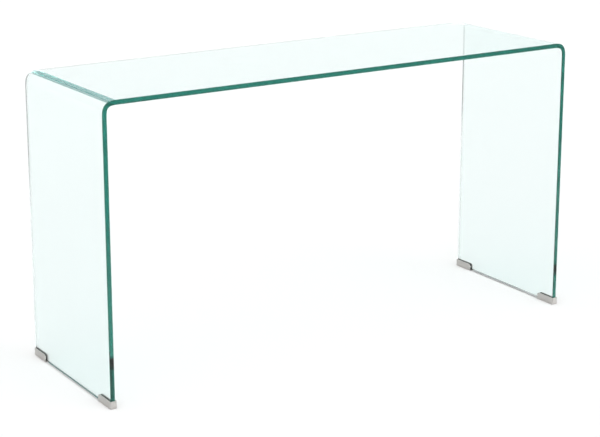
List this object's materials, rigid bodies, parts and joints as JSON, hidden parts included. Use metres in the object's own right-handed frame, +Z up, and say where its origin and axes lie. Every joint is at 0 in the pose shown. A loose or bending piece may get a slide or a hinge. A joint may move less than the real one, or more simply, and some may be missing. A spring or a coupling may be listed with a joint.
{
  "type": "console table",
  "caption": "Waterfall console table: a bent sheet of clear glass forms the top and both side legs, and stands on small satin metal corner shoes.",
  "frame": {"origin": "on the floor, under the centre of the table", "axes": "+X along the length of the top, +Y from the front edge to the rear edge, +Z up; the front and rear are alike"},
  "size_m": [1.4056, 0.4354, 0.75],
  "materials": {
    "clear_glass": "clear float glass, hot-bent and tempered, edges ground and polished, green when seen edge on",
    "satin_metal": "satin stainless steel, fine brushed along the shoe",
    "dark_elastomer": "matt dark grey elastomer",
    "grey_felt": "pressed wool felt"
  },
  "bodies": {
    "root": {"glass_sheet": "clear_glass", "front_left_shoe": "satin_metal", "rear_left_shoe": "satin_metal", "front_right_shoe": "satin_metal", "rear_right_shoe": "satin_metal", "front_left_liner": "dark_elastomer", "rear_left_liner": "dark_elastomer", "front_right_liner": "dark_elastomer", "rear_right_liner": "dark_elastomer", "front_left_glide": "grey_felt", "rear_left_glide": "grey_felt", "front_right_glide": "grey_felt", "rear_right_glide": "grey_felt"}
  },
  "joints": []
}
